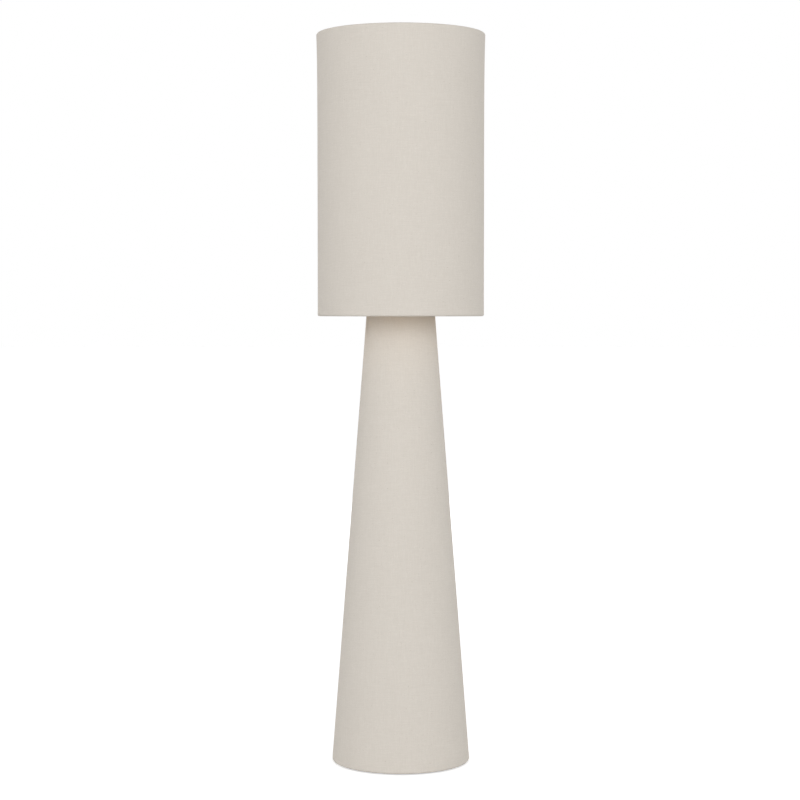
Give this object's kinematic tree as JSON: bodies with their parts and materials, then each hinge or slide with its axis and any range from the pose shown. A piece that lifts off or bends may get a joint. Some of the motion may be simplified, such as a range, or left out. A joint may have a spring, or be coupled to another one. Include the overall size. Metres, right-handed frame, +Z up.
{
  "type": "column floor lamp",
  "caption": "Floor lamp with a tall linen drum shade over a tapered linen-covered column on a weighted base.",
  "frame": {"origin": "on the floor, under the middle of the column", "axes": "+Z up along the column; -Y is the front, +Y the back with the cloth seams and the cord outlet"},
  "size_m": [0.2999, 0.3, 1.3],
  "materials": {
    "linen": "plain-woven natural linen, matte, glued to a stiff liner",
    "liner": "smooth white laminate",
    "white_paint": "satin white powder coat",
    "wire": "zinc-plated",
    "steel": "zinc-plated",
    "iron": "as cast, black lacquer",
    "rubber": "matte black",
    "holder": "moulded, satin white",
    "block": "moulded nylon",
    "lead": "PVC-sheathed lead",
    "ceramic": "glazed ceramic core",
    "brass": "plain brass",
    "opal": "opal, frosted white",
    "bulb_housing": "white moulded housing",
    "bulb_cap": "nickel-plated",
    "insulator": "black glass"
  },
  "bodies": {
    "lamp": {"floor_pads": "rubber", "base_plate": "iron", "stem_flange": "steel", "flange_screws": "steel", "stem_tube": "steel", "stem_plug": "brass", "stem_bush": "rubber", "column_bottom_hoop": "wire", "column_top_hoop": "wire", "column_struts": "wire", "strut_screws": "steel", "column_liner": "liner", "column_linen": "linen", "column_top_plate": "white_paint", "outlet_grommet": "rubber", "terminal_block": "block", "terminal_screws": "steel", "inner_lead": "lead", "threaded_tube": "brass", "neck_tube": "white_paint", "holder_cap": "holder", "holder_sleeve": "holder", "holder_core": "ceramic", "holder_screw_shell": "brass", "holder_contact": "brass", "lower_shade_ring": "holder", "upper_shade_ring": "holder"},
    "shade": {"shade_hub": "white_paint", "shade_arms": "white_paint", "shade_bottom_hoop": "white_paint", "shade_top_hoop": "white_paint", "shade_liner": "liner", "shade_linen": "linen"},
    "bulb_tip": {"bulb_contact": "brass"},
    "bulb": {"bulb_insulator": "insulator", "bulb_cap": "bulb_cap", "bulb_housing": "bulb_housing", "bulb_globe": "opal"}
  },
  "joints": [
    {"name": "shade_turn", "type": "hinge", "parent": "lamp", "child": "shade", "pos_m": [0, 0, 0.9393], "axis": [0, 0, 1], "continuous": true},
    {"name": "bulb_lift", "type": "slide", "parent": "lamp", "child": "bulb_tip", "axis": [0, 0, 1], "range_m": [0, 0.01088]},
    {"name": "bulb_turn", "type": "hinge", "parent": "bulb_tip", "child": "bulb", "pos_m": [0, 0, 0.9338], "axis": [0, 0, 1], "range_deg": [0, 1080]}
  ],
  "couplings": [
    {"joint": "bulb_turn", "follows": "bulb_lift", "rad_per_m": 1731.4}
  ]
}
